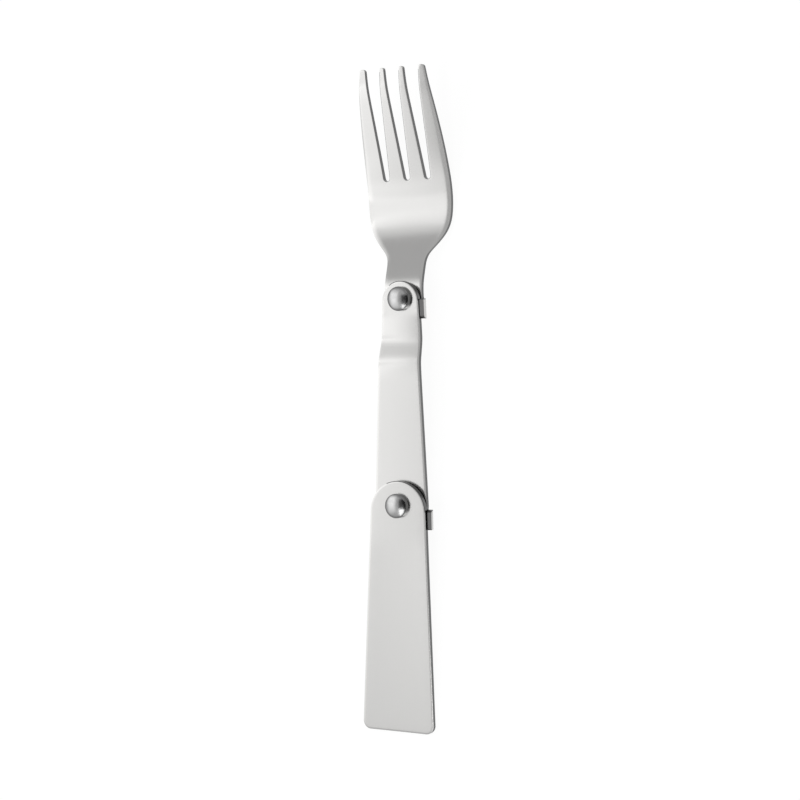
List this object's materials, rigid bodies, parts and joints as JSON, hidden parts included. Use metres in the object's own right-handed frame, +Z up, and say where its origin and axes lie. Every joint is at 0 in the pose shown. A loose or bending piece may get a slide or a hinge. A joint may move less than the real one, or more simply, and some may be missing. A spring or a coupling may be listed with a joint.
{
  "type": "folding fork",
  "caption": "Folding picnic fork of stainless sheet: flat tapered handle, stepped middle arm and dished tined head, turning on domed rivets and held straight by bent-up stop tabs.",
  "frame": {"origin": "on the table, below the middle of the fork's length and width, with the fork straight and lying face up on the back of its bowl and on the butt end of its handle", "axes": "+Y from the handle's butt end towards the tines, +Z up from the table towards the rivets' domed heads, +X to the side of the stop tabs"},
  "size_m": [0.0232, 0.1602, 0.0102],
  "materials": {
    "leaf_steel": "satin polished sheet with softened edges",
    "rivet_steel": "mirror polished",
    "washer_steel": "plain, as stamped"
  },
  "bodies": {
    "head_body": {"fork_head": "leaf_steel"},
    "arm_body": {"middle_arm": "leaf_steel", "front_rivet": "rivet_steel", "front_spacer_washer": "washer_steel"},
    "handle_body": {"handle": "leaf_steel", "rear_rivet": "rivet_steel", "rear_spacer_washer": "washer_steel"}
  },
  "joints": [
    {"name": "front_fold", "type": "hinge", "parent": "head_body", "child": "arm_body", "pos_m": [0.00095, 0.02435, 0.00606], "axis": [0, 0.0762, -0.9971], "range_deg": [0, 178.6]},
    {"name": "rear_fold", "type": "hinge", "parent": "arm_body", "child": "handle_body", "pos_m": [0.00181, -0.02542, 0.00526], "axis": [0, 0.0762, -0.9971], "range_deg": [0, 179]}
  ]
}
